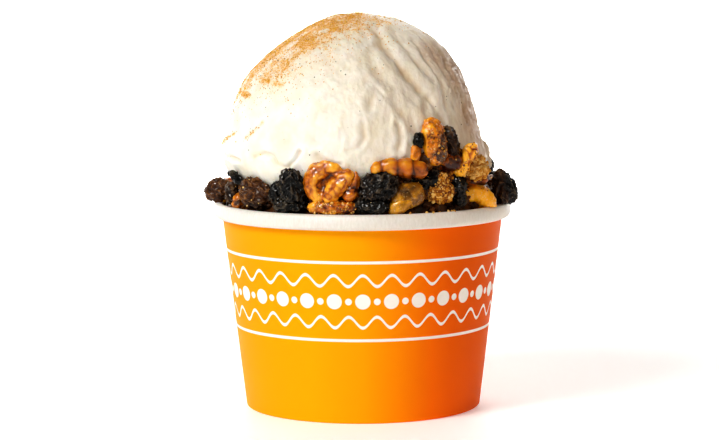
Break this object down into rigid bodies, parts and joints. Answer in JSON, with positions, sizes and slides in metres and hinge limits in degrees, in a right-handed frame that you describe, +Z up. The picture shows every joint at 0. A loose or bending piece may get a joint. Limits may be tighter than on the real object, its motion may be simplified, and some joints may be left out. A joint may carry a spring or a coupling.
{
  "type": "apple walnut cobbler in a paper tub with ice cream",
  "caption": "Paper tub heaped with glazed walnuts, apple, raisins and crumble, under one large scoop of ice cream.",
  "frame": {"origin": "under the middle of the paper tub's foot, on the surface that it stands on", "axes": "+Z up through the scoop's crown, -Y towards the shown side, +X to the right as seen from there"},
  "size_m": [0.0993, 0.096, 0.1261],
  "materials": {
    "printed_paper": "coated paper board printed in orange, with a plain white band",
    "plain_paper": "plain white coated paper board",
    "ice_cream": "moist vanilla ice cream with specks and a dusting of cinnamon",
    "cobbler_syrup": "dark fruit syrup over soft baked fruit",
    "raisin_skin": "wrinkled dark skin with a moist sheen",
    "glazed_apple": "amber syrup glaze",
    "glazed_walnut": "sugar glaze over brown skin",
    "oat_crumble": "toasted crumbs bound with syrup"
  },
  "bodies": {
    "root": {"apple_back_1": "glazed_apple", "apple_back_2": "glazed_apple", "apple_back_3": "glazed_apple", "apple_bit_left": "glazed_apple", "apple_bright": "glazed_apple", "apple_low": "glazed_apple", "apple_olive": "glazed_apple", "apple_small": "glazed_apple", "apple_standing": "glazed_apple", "crumble_back_1": "oat_crumble", "crumble_back_2": "oat_crumble", "crumble_front": "oat_crumble", "crumble_heap": "oat_crumble", "crumble_right": "oat_crumble", "cup_floor": "plain_paper", "cup_wall": "printed_paper", "filling": "cobbler_syrup", "raisin_back_1": "raisin_skin", "raisin_back_2": "raisin_skin", "raisin_back_3": "raisin_skin", "raisin_back_4": "raisin_skin", "raisin_back_5": "raisin_skin", "raisin_back_6": "raisin_skin", "raisin_back_7": "raisin_skin", "raisin_back_8": "raisin_skin", "raisin_back_9": "raisin_skin", "raisin_behind": "raisin_skin", "raisin_between": "raisin_skin", "raisin_bit": "raisin_skin", "raisin_brown": "raisin_skin", "raisin_centre": "raisin_skin", "raisin_dark": "raisin_skin", "raisin_far_left": "raisin_skin", "raisin_low": "raisin_skin", "raisin_low_centre": "raisin_skin", "raisin_low_left": "raisin_skin", "raisin_right": "raisin_skin", "raisin_small": "raisin_skin", "raisin_stem_left": "raisin_skin", "raisin_strip": "raisin_skin", "scoop": "ice_cream", "walnut_back_1": "glazed_walnut", "walnut_back_2": "glazed_walnut", "walnut_back_3": "glazed_walnut", "walnut_back_4": "glazed_walnut", "walnut_back_5": "glazed_walnut", "walnut_back_6": "glazed_walnut", "walnut_back_7": "glazed_walnut", "walnut_brown": "glazed_walnut", "walnut_curled": "glazed_walnut", "walnut_fold": "glazed_walnut", "walnut_gap": "glazed_walnut", "walnut_long": "glazed_walnut", "walnut_low": "glazed_walnut", "walnut_right": "glazed_walnut"}
  },
  "joints": []
}
